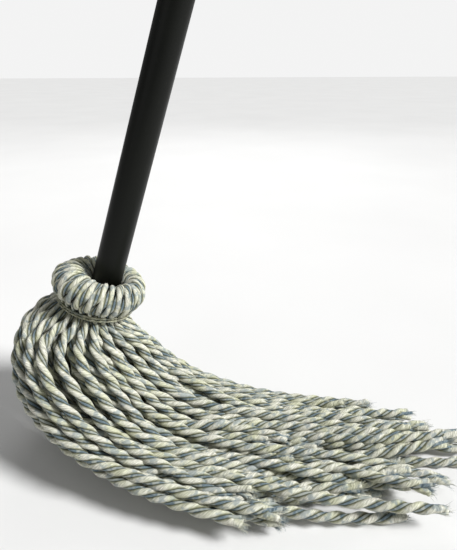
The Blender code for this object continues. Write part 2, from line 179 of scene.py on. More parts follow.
def spaced(points, places):
    """Points on a polyline at the given distances from its start."""
    run = run_along(points)
    return np.stack([np.interp(places, run, points[:, i]) for i in range(3)], axis=1)


def sweep_line():
    """Evenly spaced points, tangents and distances along the skirt's middle line."""
    knots = np.array(SWEEP)
    before = knots[0] + 0.030 * np.array((math.sin(LEAN), 0.0, math.cos(LEAN)))
    fine = catmull(np.vstack([before, knots, 2 * knots[-1] - knots[-2]]), 40)
    run = np.linspace(0.0, run_along(fine)[-1], STATIONS)
    line = spaced(fine, run)
    tangent = np.gradient(line, axis=0)
    tangent /= np.linalg.norm(tangent, axis=1)[:, None]
    return line, tangent, run


def section_axes(tangent):
    """Two axes across the line at every station, carried along without twist."""
    first = np.cross(tangent[0], (0.0, 1.0, 0.0))
    axes = []
    for t in tangent:
        first = first - t * np.dot(first, t)
        first /= np.linalg.norm(first)
        axes.append((first, np.cross(t, first)))
    return np.array(axes)


def section_size(run):
    """Half width and half thickness of the skirt along its run: a dome, then a flat fan."""
    dome = WAIST_RING + (DOME_RADIUS - WAIST_RING) * smooth_step(run, 0.0, DOME_RUN)
    flat = smooth_step(run, FLATTEN_FROM, FLATTEN_TO)
    width = dome + (FAN_HALF_WIDTH - DOME_RADIUS) * flat
    thickness = dome + (FAN_HALF_THICKNESS - DOME_RADIUS) * flat
    return width, thickness


def yarn_gap(run):
    """Distance kept between the middles of two strands: they are squeezed together at the waist."""
    return SQUEEZED_SPACING + (STRAND_SPACING - SQUEEZED_SPACING) * smooth_step(run, 0.006, 0.024)


def first_section():
    """Strands at the waist: an outer ring and inner rings, as points across the handle's axis."""
    points = []
    for turn, (count, radius) in enumerate(((OUTER_STRANDS, WAIST_RING), *INNER_RINGS)):
        for i in range(count):
            angle = math.tau * (i + 0.5 * max(0, turn - 1)) / count
            points.append((radius * math.cos(angle), radius * math.sin(angle)))
    return np.array(points)


def settle(points, spacing, shape, slope, room):
    """Push strands in one section apart, keep them inside its outline and above the floor."""
    away = np.eye(len(points))
    steep = float(slope @ slope)
    for _ in range(SETTLE_ROUNDS):
        gap = points[:, None] - points[None]
        far = np.sqrt((gap ** 2).sum(2)) + away
        push = np.clip(spacing - far, 0.0, None) / far
        points = points + 0.42 * (gap * push[:, :, None]).sum(1)
        inward = points @ shape
        level = np.sqrt(np.maximum((points * inward).sum(1), 1e-9))
        back = np.clip(level - 1.0, 0.0, 0.25 * level) * level / (inward ** 2).sum(1)
        points = points - back[:, None] * inward
        if steep > 0.05:
            low = np.clip(-(room + points @ slope), 0.0, None)
            points = points + low[:, None] * slope / steep
    return points


def laid_strands():
    """Middle lines of all strands from the collar's foot, as strands by stations by three."""
    rng = np.random.default_rng(SEED)
    line, tangent, run = sweep_line()
    axes = section_axes(tangent)
    points = first_section()
    phase = rng.uniform(0.0, math.tau, (len(points), 2, 2))
    pace = rng.uniform(*WANDER_LENGTHS, (len(points), 2, 2))
    up = np.array((0.0, 0.0, 1.0))
    level_from = int(np.searchsorted(run, LEVEL_FROM))
    paths = []
    for k in range(STATIONS):
        level = max(k, level_from)
        across = np.cross(tangent[level], up)
        across /= np.linalg.norm(across)
        h = axes[level] @ across
        v = axes[level] @ np.cross(across, tangent[level])
        width, thickness = section_size(run[k])
        stretch = np.outer(h, h) * width + np.outer(v, v) * thickness
        if paths:
            points = points @ np.linalg.inv(before) @ stretch
        before = stretch
        drift = np.sin(phase + run[k] / pace).sum(axis=1)
        points = points + WANDER * smooth_step(run[k], 0.05, 0.16) * drift
        outline = np.linalg.inv(stretch @ stretch)
        spacing = yarn_gap(run[k]) + SPARE_SPACING
        points = settle(points, spacing, outline, axes[k] @ up, line[k][2] - LOWEST_MIDDLE)
        paths.append(line[k] + points @ axes[k])
    return ease(np.array(paths).transpose(1, 0, 2), run)


def pushes(paths, target):
    """How far each point should move sideways to stand clear of every other strand beside it."""
    stations = paths.shape[1]
    own = np.eye(len(paths), dtype=bool)[:, :, None]
    tangent = np.gradient(paths, axis=1)
    pitch = np.linalg.norm(tangent, axis=2)
    tangent = tangent / pitch[..., None]
    move = np.zeros_like(paths)
    for step in range(-REACH, REACH + 1):
        low, high = max(0, -step), min(stations, stations - step)
        gap = paths[:, low:high][:, None] - paths[:, low + step:high + step][None]
        along = np.einsum("ijkc,ikc->ijk", gap, tangent[:, low:high])
        gap = gap - along[..., None] * tangent[:, None, low:high]
        beside = np.abs(along) < 0.6 * pitch[:, None, low:high]
        far = np.sqrt((gap ** 2).sum(3)) + 1e-9
        push = np.clip(target[None, None, low:high] - far, 0.0, None) / far
        push = np.where(beside & ~own, push, 0.0)
        move[:, low:high] += 0.30 * (gap * push[..., None]).sum(1)
    return np.clip(move, -BIGGEST_PUSH, BIGGEST_PUSH)


def ease(paths, run):
    """Smooth the strands along their length while neighbours push each other apart."""
    moving = (np.arange(1, STATIONS - 1) >= HELD_STATIONS)[None, :, None]
    centre = paths.mean(axis=0)
    for turn in range(EASE_ROUNDS):
        if turn < SMOOTH_ROUNDS and turn % 4 == 0:
            off = paths - centre
            sag = 0.5 * (off[:, :-2] + off[:, 2:]) - off[:, 1:-1]
            paths[:, 1:-1] += 0.5 * sag * moving
        move = pushes(paths, yarn_gap(run))
        move[:, :HELD_STATIONS] = 0.0
        paths = paths + move
        paths[:, :, 2] = np.maximum(paths[:, :, 2], STRAND_RADIUS)
    return paths


def strand_lengths(paths):
    """Length of every strand from the waist: shorter towards both edges of the fan, and uneven."""
    rng = np.random.default_rng(SEED + 1)
    aside = paths[:, -1, 1] - paths[:, -1, 1].mean()
    share = aside / np.abs(aside).max()
    trim = np.where(share > 0, TRIM_FAR, TRIM_NEAR) * np.abs(share) ** 1.5
    return LAID_LENGTH - trim + rng.uniform(-LENGTH_SPREAD, LENGTH_SPREAD, len(paths))


def smoothed(paths, rounds, shrink=1.0):
    """Paths with their small waves taken out; without shrink each round puts its loss of bulge back."""
    paths = paths.copy()
    for _ in range(rounds):
        for share in (0.5, 0.52 * (shrink - 1.0)):
            paths[:, 1:-1] += share * (0.5 * (paths[:, :-2] + paths[:, 2:]) - paths[:, 1:-1])
    return paths


def softened(paths, run):
    """Smooth strands: inner ones and those inside the bend take the short way, the fan is straight."""
    aside = (paths[:, 0, :2] - paths[:, 0, :2].mean(axis=0)) @ INSIDE_WAY
    inside = smooth_step(aside, INSIDE_FROM, INSIDE_TO)
    inside[OUTER_STRANDS:] = 1.0
    share = np.maximum(inside[:, None], smooth_step(run, *STRAIGHT_RUN))[..., None]
    kept = smoothed(paths, KEPT_SMOOTHING, 0.0)
    return kept + share * (smoothed(paths, FULL_SMOOTHING) - kept)


def filling_yarns(paths, run):
    """Extra yarns inside the outer ring, pushed into the gaps that the strands leave."""
    centre = paths.mean(axis=0)
    outer = paths[:OUTER_STRANDS]
    between = 0.5 * (outer + np.roll(outer, -1, axis=0))
    both = np.concatenate([paths, centre + FILL_SHARE * (between - centre)])
    known = len(paths)
    for turn in range(FILL_ROUNDS):
        if turn % 5 == 0:
            sag = 0.5 * (both[known:, :-2] + both[known:, 2:]) - both[known:, 1:-1]
            both[known:, 1:-1] += 0.5 * sag
        move = pushes(both, yarn_gap(run))
        both[known:] += move[known:]
        both[:, :, 2] = np.maximum(both[:, :, 2], YARN_RADIUS)
    return both[known:]


# ---------------------------------------------------------------- yarn meshes

# Plies of a yarn, a fat cream one and a thin blue one in turn: distance from the yarn's middle
# and radius as shares of the yarn's radius, half angle in degrees, and columns
PLIES = ((0.44, 0.58, 64.0, 8), (0.37, 0.33, 26.0, 4))


def ply_section():
    """Outline of a yarn as angles, radii and ply coordinates, whose whole numbers are the valleys."""
    angles, radii, share = [], [], []
    start = 0.0
    for n in range(4):
        out, size, half, columns = PLIES[n % 2]
        for k in range(columns):
            t = k / columns
            off = math.radians((2 * t - 1) * half)
            radii.append(out * math.cos(off) + math.sqrt(size ** 2 - (out * math.sin(off)) ** 2))
            angles.append(start + math.radians(2 * half * t))
            share.append(n + t)
        start += math.radians(2 * half)
    return np.array(angles), np.array(radii), np.array(share)


SECTION_ANGLES, SECTION_RADII, SECTION_SHARE = ply_section()


def carried_axes(points, start, first):
    """Axes across a line at every point, carried both ways from one point without twist."""
    tangent = np.gradient(points, axis=0)
    tangent /= np.linalg.norm(tangent, axis=1)[:, None]
    normal = np.zeros_like(points)
    for order in (range(start, len(points)), range(start, -1, -1)):
        side = first
        for i in order:
            side = side - tangent[i] * np.dot(side, tangent[i])
            side = side / np.linalg.norm(side)
            normal[i] = side
    return tangent, normal, np.cross(tangent, normal)


class Threads:
    """Collects tubes of any section into one mesh with a UV for every corner."""

    def __init__(self):
        self.verts = []
        self.faces = []
        self.uvs = []
        self.count = 0

    def add(self, rings, share, places, last_share, close=True):
        """Rings of points (rings by columns by three), with a coordinate round and one along."""
        rows, columns = rings.shape[:2]
        base = self.count
        self.verts.append(rings.reshape(-1, 3))
        self.count += rows * columns
        i, j = np.meshgrid(np.arange(rows - 1), np.arange(columns), indexing="ij")
        after = (j + 1) % columns
        quads = np.stack([i * columns + j, i * columns + after, (i + 1) * columns + after,
                          (i + 1) * columns + j], axis=-1).reshape(-1, 4) + base
        round_about = np.append(share, last_share)
        u = np.stack([round_about[j], round_about[j + 1], round_about[j + 1], round_about[j]], axis=-1)
        v = np.stack([places[i], places[i], places[i + 1], places[i + 1]], axis=-1)
        self.faces.append(quads)
        self.uvs.append(np.stack([u, v], axis=-1).reshape(-1, 4, 2))
        if close:
            self.cap(rings[0], share, places[0], base, False)
            self.cap(rings[-1], share, places[-1], base + (rows - 1) * columns, True)

    def cap(self, ring, share, place, base, forward):
        """Close one end of a tube with a fan of triangles round its middle."""
        columns = len(ring)
        middle = self.count
        self.verts.append(ring.mean(axis=0)[None])
        self.count += 1
        j = np.arange(columns)
        after = (j + 1) % columns
        pair = (j, after) if forward else (after, j)
        centre = np.full(columns, middle)
        triangles = np.stack([pair[0] + base, pair[1] + base, centre, centre], axis=-1)
        uv = np.zeros((columns, 4, 2))
        uv[:, :, 0] = share[:, None]
        uv[:, :, 1] = place
        self.faces.append(triangles)
        self.uvs.append(uv)

    def mesh(self, name):
        """Everything that was added, as one smooth mesh."""
        verts = np.concatenate(self.verts)
        faces = np.concatenate(self.faces)
        uvs = np.concatenate(self.uvs)
        lists = [tuple(f[:3]) if f[2] == f[3] else tuple(f) for f in faces.tolist()]
        mesh = bpy.data.meshes.new(name)
        mesh.from_pydata(verts.tolist(), [], lists)
        layer = mesh.uv_layers.new(name="yarn")
        corners = np.array([len(f) for f in lists])
        keep = np.arange(4)[None] < corners[:, None]
        layer.data.foreach_set("uv", uvs[keep].ravel())
        mesh.polygons.foreach_set("use_smooth", [True] * len(lists))
        mesh.update()
        return mesh


def waves(places, terms, rng):
    """Sum of slow sine waves along a yarn, each from its own random start."""
    return sum(share * np.sin(places / length + rng.uniform(0, 7)) for share, length in terms)


class Yarn:
    """One yarn: its middle line, axes, squeeze and twist at even steps along its length."""

    def __init__(self, points, start, first, rng):
        length = run_along(points)[-1]
        count = int(length / RING_STEP) + 1
        self.places = np.linspace(0.0, length, count)
        self.points = spaced(points, self.places)
        waist = run_along(points)[start]
        here = int(np.argmin(np.abs(self.places - waist)))
        self.tangent, self.normal, self.side = carried_axes(self.points, here, first)
        self.place_from_waist = self.places - waist
        self.wide, self.thick = squeeze(self.place_from_waist)
        loosening = waves(self.places, LOOSENING, rng)
        self.turn = rng.uniform(0, math.tau) - math.tau * (self.places / TWIST_PITCH + loosening)
        self.radius = YARN_RADIUS * (1.0 + waves(self.places, SWELLING, rng))

    def rings(self, low, high):
        """The yarn's outline between two ring numbers."""
        part = slice(low, high + 1)
        angle = SECTION_ANGLES[None] + self.turn[part, None]
        reach = SECTION_RADII[None] * self.radius[part, None]
        out = (reach * np.cos(angle) * self.thick[part, None])[..., None] * self.normal[part, None]
        along = (reach * np.sin(angle) * self.wide[part, None])[..., None] * self.side[part, None]
        return self.points[part, None] + out + along

    def add_to(self, threads, low, high):
        """Put the stretch between two ring numbers into a mesh."""
        last_share = 2.0 * len(PLIES)
        threads.add(self.rings(low, high), SECTION_SHARE, self.place_from_waist[low:high + 1], last_share)


def folded_over(end_angle):
    """Middle of one yarn in the collar: up beside the handle, over and down outside to the waist."""
    half = FOLD_THICKNESS / 2
    outer = COLLAR_RADIUS - half
    last = FOLD_STEPS + 3
    points = []
    for i in range(last + 1):
        angle = end_angle + FOLD_SLANT * (1.0 - max(0.0, i / last - 0.25) / 0.75)
        inner = TUBE_RADIUS + TUBE_CLEARANCE + half + HANDLE_OFFSET * math.cos(angle)
        turn = math.pi - FOLD_ARC * (i - 1) / FOLD_STEPS
        radius = (inner + outer) / 2 + (outer - inner) / 2 * math.cos(turn)
        height = FOLD_MIDDLE + FOLD_RISE * math.sin(turn)
        if i == 0:
            radius, height = inner, WAIST + TUBE_CLEARANCE
        if i > last - len(TUCKS):
            past, above = TUCKS[i - last - 1 + len(TUCKS)]
            radius, height = WAIST_RING + past, WAIST + above
        points.append(COLLAR_FRAME @ Vector((radius * math.cos(angle), radius * math.sin(angle), height)))
    return np.array(points)


# Width and thickness at the waist, outside the collar and beside the handle, as shares of a free yarn
WAIST_WIDE = 0.76
COLLAR_WIDE = 0.98
INWARD_WIDE = 0.48
WAIST_THICK = 0.80
COLLAR_THICK = 0.84


def squeeze(place):
    """Width and thickness of a yarn, as shares of a free one, at a distance past the waist."""
    free = smooth_step(place, 0.000, 0.022)
    collar = smooth_step(-place, 0.006, 0.020)
    inward = smooth_step(-place, 0.034, 0.056)
    wide = np.where(place < 0, WAIST_WIDE, WAIST_WIDE + (1.0 - WAIST_WIDE) * free)
    wide = wide + (COLLAR_WIDE - WAIST_WIDE) * collar - (COLLAR_WIDE - INWARD_WIDE) * inward
    thick = np.where(place < 0, WAIST_THICK + (COLLAR_THICK - WAIST_THICK) * collar,
                     WAIST_THICK + (1.0 - WAIST_THICK) * free)
    return wide, thick


def outer_yarn(number, path):
    """A yarn of the outer ring, from its fold in the collar to its tip."""
    end_angle = -math.tau * number / OUTER_STRANDS
    folded = folded_over(end_angle)
    knots = np.vstack([folded, path])
    knots = np.vstack([2 * knots[0] - knots[1], knots, 2 * knots[-1] - knots[-2]])
    outward = COLLAR_FRAME.to_3x3() @ Vector((math.cos(end_angle), math.sin(end_angle), 0))
    return catmull(knots, PARTS), len(folded) * PARTS, np.array(outward)


def inner_yarn(path):
    """A yarn that starts at the waist and has no place in the collar."""
    knots = np.vstack([2 * path[0] - path[1], path, 2 * path[-1] - path[-2]])
    return catmull(knots, PARTS), 0, np.array(COLLAR_FRAME.to_3x3() @ Vector((1, 0, 0)))


# ---------------------------------------------------------------- tips

# Cut ends: the plies come apart over TIP_LENGTH, and the FRAYED strands on the near edge open wide
PLY_SIDES = 8
TIP_LENGTH = 0.012
TIP_STEPS = 7
TIP_BACK = 3
FRAYED = 7
FIBRES = 11
FRAYED_FIBRES = 34
FIBRE_THICKNESS = 0.00017
STRAY_HAIRS = 14
STRAY_THICKNESS = 0.00010


def round_rings(middle, radii, normal, side):
    """Rings of points round a line, with a radius for every point of every ring."""
    around = np.linspace(0.0, math.tau, radii.shape[1], endpoint=False)
    out = np.cos(around)[None, :, None] * normal[:, None] + np.sin(around)[None, :, None] * side[:, None]
    return middle[:, None] + radii[..., None] * out


def tip_of(yarn, threads, end, rng, frayed):
    """Loosened plies and stray fibres past the end of a yarn; a frayed one opens wide."""
    spread = rng.uniform(0.9, 1.5) if frayed else rng.uniform(0.15, 0.75)
    length = rng.uniform(0.007, TIP_LENGTH)
    base = end - TIP_BACK
    tangent = yarn.tangent[end]
    turn = yarn.turn[base]
    start_angle = 0.0
    for n in range(4):
        out, size, half, _ = PLIES[n % 2]
        centre_angle = start_angle + math.radians(half)
        start_angle += math.radians(2 * half)
        reach = length * rng.uniform(0.75, 1.15)
        lean = rng.uniform(-0.25, 0.25)
        middle, sizes, places = [], [], []
        for k in range(TIP_STEPS + 1):
            t = k / TIP_STEPS
            along = t * (reach + TIP_BACK * RING_STEP)
            twist = turn + centre_angle - math.tau * along / TWIST_PITCH * (1.0 - 0.5 * t) + lean * t
            away = yarn.radius[end] * out * (1.0 + spread * t * t)
            point = yarn.points[base] + tangent * along \
                + away * (math.cos(twist) * yarn.normal[end] + math.sin(twist) * yarn.side[end])
            point[2] = max(point[2] - 0.0006 * t, yarn.radius[end] * size)
            middle.append(point)
            sizes.append(yarn.radius[end] * size * (0.95 + 0.15 * t - 0.25 * t ** 4))
            places.append(yarn.place_from_waist[base] + along)
        middle = np.array(middle)
        _, normal, side = carried_axes(middle, 0, yarn.normal[end])
        growing = np.linspace(0, 1, TIP_STEPS + 1)[:, None]
        rough = 1.0 + 0.12 * rng.standard_normal((TIP_STEPS + 1, PLY_SIDES)) * growing
        rings = round_rings(middle, np.array(sizes)[:, None] * rough, normal, side)
        share = n + np.linspace(0.24, 0.76, PLY_SIDES)
        threads.add(rings, share, np.array(places), n + 0.76)
        count = FRAYED_FIBRES if frayed else FIBRES
        fibres(threads, middle[-1], middle[-1] - middle[-3], sizes[-1], n, places[-1], rng, count)


def fibres(threads, place, direction, size, ply, distance, rng, count):
    """Short bent hairs that stand out of a cut ply."""
    direction = direction / np.linalg.norm(direction)
    for _ in range(count):
        offset = rng.standard_normal(3) * size * 0.45
        start = place + offset - direction * size
        way = direction + rng.standard_normal(3) * 0.30
        bend = rng.standard_normal(3) * 0.35
        length = rng.uniform(0.0022, 0.0055)
        t = np.linspace(0.0, 1.0, 4)[:, None]
        middle = start + length * (way * t + bend * t * t * 0.5)
        middle[:, 2] = np.maximum(middle[:, 2], 0.0004)
        hair(threads, middle, FIBRE_THICKNESS, ply + rng.uniform(0.2, 0.8), distance, rng)


def hair(threads, middle, thickness, share, distance, rng):
    """A tapering three-sided fibre along a short line."""
    _, normal, side = carried_axes(middle, 0, rng.standard_normal(3))
    taper = np.linspace(1.0, 0.35, len(middle))[:, None]
    rings = round_rings(middle, thickness * taper * np.ones(3), normal, side)
    threads.add(rings, np.full(3, share), np.full(len(middle), distance), share)


def stray_hairs(yarn, threads, low, high, rng):
    """Fine fibres that stand off a yarn along its length."""
    for _ in range(STRAY_HAIRS):
        i = int(rng.integers(low + 2, high - 2))
        angle = rng.uniform(0.0, math.tau)
        out = math.cos(angle) * yarn.normal[i] + math.sin(angle) * yarn.side[i]
        start = yarn.points[i] + out * yarn.radius[i] * 0.8
        way = out * rng.uniform(0.2, 0.9) + yarn.tangent[i] * rng.uniform(-1.0, 1.0)
        bend = rng.standard_normal(3) * 0.6
        t = np.linspace(0.0, 1.0, 5)[:, None]
        middle = start + rng.uniform(0.002, 0.0045) * (way * t + bend * t * t * 0.5)
        middle[:, 2] = np.maximum(middle[:, 2], 0.0003)
        share = rng.uniform(0.3, 0.7) + rng.integers(0, 4)
        hair(threads, middle, STRAY_THICKNESS, share, yarn.place_from_waist[i], rng)


# ---------------------------------------------------------------- materials

class Nodes:
    """Short calls for building one material's node tree."""

    def __init__(self, name):
        self.material = bpy.data.materials.new(name)
        self.material.use_nodes = True
        self.tree = self.material.node_tree
        self.shader = self.tree.nodes["Principled BSDF"]

    def new(self, kind, **values):
        node = self.tree.nodes.new(kind)
        for key, value in values.items():
            setattr(node, key, value)
        return node

    def link(self, source, target):
        self.tree.links.new(source, target)

    def put(self, socket, value):
        """Link the socket to another one, or set it to a plain value."""
        if isinstance(value, bpy.types.NodeSocket):
            self.link(value, socket)
        else:
            socket.default_value = value

    def math(self, operation, a, b=0.0, clamp=False):
        node = self.new("ShaderNodeMath", operation=operation, use_clamp=clamp)
        self.put(node.inputs[0], a)
        self.put(node.inputs[1], b)
        return node.outputs[0]

    def combine(self, x, y, z):
        node = self.new("ShaderNodeCombineXYZ")
        for socket, value in zip(node.inputs, (x, y, z)):
            self.put(socket, value)
        return node.outputs[0]

    def noise(self, vector, scale, detail=3.0, roughness=0.55):
        node = self.new("ShaderNodeTexNoise")
        self.link(vector, node.inputs["Vector"])
        node.inputs["Scale"].default_value = scale
        node.inputs["Detail"].default_value = detail
        node.inputs["Roughness"].default_value = roughness
        return node.outputs["Fac"]

    def ramp(self, factor, stops):
        node = self.new("ShaderNodeValToRGB")
        self.link(factor, node.inputs["Fac"])
        elements = node.color_ramp.elements
        while len(elements) < len(stops):
            elements.new(0.5)
        for element, (position, colour) in zip(elements, stops):
            element.position = position
            element.color = (*colour, 1.0)
        return node.outputs["Color"]

    def mix(self, factor, a, b, kind="MIX"):
        node = self.new("ShaderNodeMix", data_type="RGBA", blend_type=kind)
        self.put(node.inputs[0], factor)
        for socket, value in ((node.inputs[6], a), (node.inputs[7], b)):
            if isinstance(value, tuple):
                value = (*value, 1.0)
            self.put(socket, value)
        return node.outputs[2]

    def bump(self, height, distance, strength=1.0, normal=None):
        node = self.new("ShaderNodeBump")
        node.inputs["Distance"].default_value = distance
        node.inputs["Strength"].default_value = strength
        self.link(height, node.inputs["Height"])
        if normal is not None:
            self.link(normal, node.inputs["Normal"])
        return node.outputs["Normal"]

    def finish(self, colour, roughness, normal, **values):
        """Join the shader's main inputs; further ones are named with _ for a space."""
        self.put(self.shader.inputs["Base Color"], colour)
        self.put(self.shader.inputs["Roughness"], roughness)
        self.link(normal, self.shader.inputs["Normal"])
        for key, value in values.items():
            self.shader.inputs[key.replace("_", " ")].default_value = value
        return self.material


BLACK = (0.0, 0.0, 0.0)
WHITE = (1.0, 1.0, 1.0)


def yarn_material(name, blue=True, grime=0.0):
    """Plies of cream and blue-grey fibre, where u counts plies round the yarn and v is metres along it.

    Without blue every ply is cream, and grime darkens the whole yarn. Painted shade darkens every ply
    towards the valleys between plies.
    """
    n = Nodes(name)
    coords = n.new("ShaderNodeUVMap", uv_map="yarn").outputs["UV"]
    split = n.new("ShaderNodeSeparateXYZ")
    n.link(coords, split.inputs[0])
    u, v = split.outputs["X"], split.outputs["Y"]
    where = n.new("ShaderNodeTexCoord").outputs["Object"]
    half = n.math("FRACT", n.math("MULTIPLY", u, 0.5))
    is_blue = n.math("GREATER_THAN", half, 0.5)
    inside = n.math("FRACT", u)
    off_middle = n.math("ABSOLUTE", n.math("SUBTRACT", n.math("MULTIPLY", inside, 2.0), 1.0))
    centre = n.math("SUBTRACT", 1.0, off_middle)
    lay = n.math("ADD", n.math("MULTIPLY", u, 13.0), n.math("MULTIPLY", v, 900.0))
    patch = n.noise(where, 60.0, 2.0)
    cloud = n.noise(where, 150.0, 2.0)
    along_fibre = n.combine(lay, n.math("MULTIPLY", v, 260.0), n.math("MULTIPLY", patch, 6.0))
    fibre = n.noise(along_fibre, 1.0, 4.0, 0.62)
    along_fleck = n.combine(n.math("MULTIPLY", lay, 0.35), n.math("MULTIPLY", v, 190.0), 3.7)
    fleck = n.noise(along_fleck, 1.0, 2.0)
    cream = n.ramp(fibre, (
        (0.28, (0.19, 0.20, 0.14)),
        (0.45, (0.50, 0.50, 0.41)),
        (0.66, (0.85, 0.85, 0.75)),
    ))
    tinge = n.ramp(patch, ((0.35, (0.80, 0.82, 0.62)), (0.52, WHITE), (0.70, (0.93, 0.90, 0.93))))
    cream = n.mix(0.65, cream, tinge, "MULTIPLY")
    slate = n.ramp(fibre, (
        (0.26, (0.040, 0.056, 0.066)),
        (0.48, (0.115, 0.165, 0.195)),
        (0.74, (0.32, 0.38, 0.40)),
    ))
    pale = n.ramp(cloud, ((0.46, BLACK), (0.56, WHITE)))
    slate = n.mix(n.math("MULTIPLY", pale, 0.70), slate, (0.46, 0.48, 0.42))
    stain = n.ramp(cloud, ((0.39, WHITE), (0.48, BLACK)))
    blue_fibres = n.mix(fleck, (0.08, 0.13, 0.16), (0.32, 0.38, 0.40))
    cream = n.mix(n.math("MULTIPLY", stain, 0.62), cream, blue_fibres)
    colour = n.mix(is_blue, cream, slate) if blue else cream
    # Painted shade: the colour is darkened towards the valleys where plies meet, standing in for the shade
    # between them
    valley_shade = n.ramp(centre, ((0.0, (0.022, 0.023, 0.012)), (0.17, (0.32, 0.33, 0.23)), (0.46, WHITE)))
    colour = n.mix(0.95, colour, valley_shade, "MULTIPLY")
    colour = n.mix(grime, colour, (0.34, 0.34, 0.22), "MULTIPLY")
    rough = n.math("ADD", 0.82, n.math("MULTIPLY", fibre, 0.16))
    height = n.math("ADD", fibre, n.math("MULTIPLY", n.noise(where, 2600.0, 2.0), 0.35))
    normal = n.bump(height, 0.00035, 0.9)
    return n.finish(colour, rough, normal, Sheen_Weight=0.08, Sheen_Roughness=0.6, Specular_IOR_Level=0.25)


def powder_coat():
    """Near-black coat with a slight orange peel and faint scuffs along the tube."""
    n = Nodes("black_powder_coat")
    where = n.new("ShaderNodeTexCoord").outputs["Object"]
    broad = n.noise(where, 14.0, 4.0)
    fine = n.noise(where, 1500.0, 3.0)
    peel = n.noise(where, 420.0, 2.0)
    colour = n.ramp(broad, (
        (0.30, (0.0016, 0.0022, 0.0012)),
        (0.55, (0.0026, 0.0034, 0.0020)),
        (0.80, (0.0045, 0.0054, 0.0034)),
    ))
    stretched = n.new("ShaderNodeMapping")
    stretched.inputs["Rotation"].default_value = (0.0, -LEAN, 0.0)
    stretched.inputs["Scale"].default_value = (700.0, 700.0, 9.0)
    n.link(where, stretched.inputs["Vector"])
    scuffs = n.ramp(n.noise(stretched.outputs[0], 1.0, 3.0, 0.6), ((0.69, BLACK), (0.76, WHITE)))
    colour = n.mix(n.math("MULTIPLY", scuffs, 0.28), colour, (0.075, 0.072, 0.060))
    rough = n.math("ADD", 0.33, n.math("MULTIPLY", broad, 0.16))
    rough = n.math("ADD", rough, n.math("MULTIPLY", scuffs, 0.15))
    height = n.math("ADD", n.math("MULTIPLY", peel, 0.6), n.math("MULTIPLY", fine, 0.3))
    return n.finish(colour, rough, n.bump(height, 0.00012, 0.5), Specular_IOR_Level=0.20)


def moulded_plastic():
    """Black plastic with a fine moulded grain."""
    n = Nodes("moulded_black_plastic")
    where = n.new("ShaderNodeTexCoord").outputs["Object"]
    grain = n.noise(where, 2200.0, 3.0)
    broad = n.noise(where, 60.0, 3.0)
    colour = n.ramp(broad, ((0.3, (0.012, 0.012, 0.013)), (0.7, (0.030, 0.030, 0.031))))
    rough = n.math("ADD", 0.42, n.math("MULTIPLY", broad, 0.2))
    return n.finish(colour, rough, n.bump(grain, 0.00015, 0.4))


def turned_wood():
    """Pale wood with its grain along the handle."""
    n = Nodes("turned_wood")
    where = n.new("ShaderNodeTexCoord").outputs["Object"]
    stretched = n.new("ShaderNodeMapping")
    stretched.inputs["Rotation"].default_value = (0.0, -LEAN, 0.0)
    stretched.inputs["Scale"].default_value = (400.0, 400.0, 25.0)
    n.link(where, stretched.inputs["Vector"])
    grain = n.noise(stretched.outputs[0], 1.0, 4.0)
    colour = n.ramp(grain, ((0.3, (0.42, 0.27, 0.14)), (0.6, (0.66, 0.49, 0.30))))
    rough = n.math("ADD", 0.55, n.math("MULTIPLY", grain, 0.3))
    return n.finish(colour, rough, n.bump(grain, 0.0002, 0.5))


def drawn_metal(name, dark, light, rough):
    """Bare or zinc-coated metal with a fine spangle."""
    n = Nodes(name)
    where = n.new("ShaderNodeTexCoord").outputs["Object"]
    spangle = n.noise(where, 700.0, 4.0)
    colour = n.ramp(spangle, ((0.3, dark), (0.7, light)))
    roughness = n.math("ADD", rough, n.math("MULTIPLY", spangle, 0.25))
    return n.finish(colour, roughness, n.bump(spangle, 0.0001, 0.4), Metallic=1.0)


def floor_material():
    """Pale, nearly even floor."""
    n = Nodes("pale_floor")
    where = n.new("ShaderNodeTexCoord").outputs["Object"]
    broad = n.noise(where, 3.0, 2.0)
    colour = n.ramp(broad, ((0.3, (0.76, 0.76, 0.755)), (0.7, (0.79, 0.79, 0.785))))
    return n.finish(colour, 0.65, n.bump(broad, 0.0001, 0.1))


# ---------------------------------------------------------------- pieces

def piece(mesh, name, material):
    """A new visual piece with one material."""
    mesh.materials.append(material)
    ob = bpy.data.objects.new(name, mesh)
    bpy.context.scene.collection.objects.link(ob)
    return ob


def on_axis(height):
    """A point on the collar's axis."""
    return COLLAR_FRAME @ Vector((0, 0, height))


def yarn_along(path, length, number, rng):
    """A yarn that follows one path from the waist, and folds over the collar if it has a place in it."""
    path = path + FOOT
    path[:, 2] = np.maximum(path[:, 2], YARN_RADIUS)
    fine, start, first = inner_yarn(path) if number is None else outer_yarn(number, path)
    run = run_along(fine)
    keep = run <= run[start] + length
    return Yarn(fine[keep], start, first, rng)


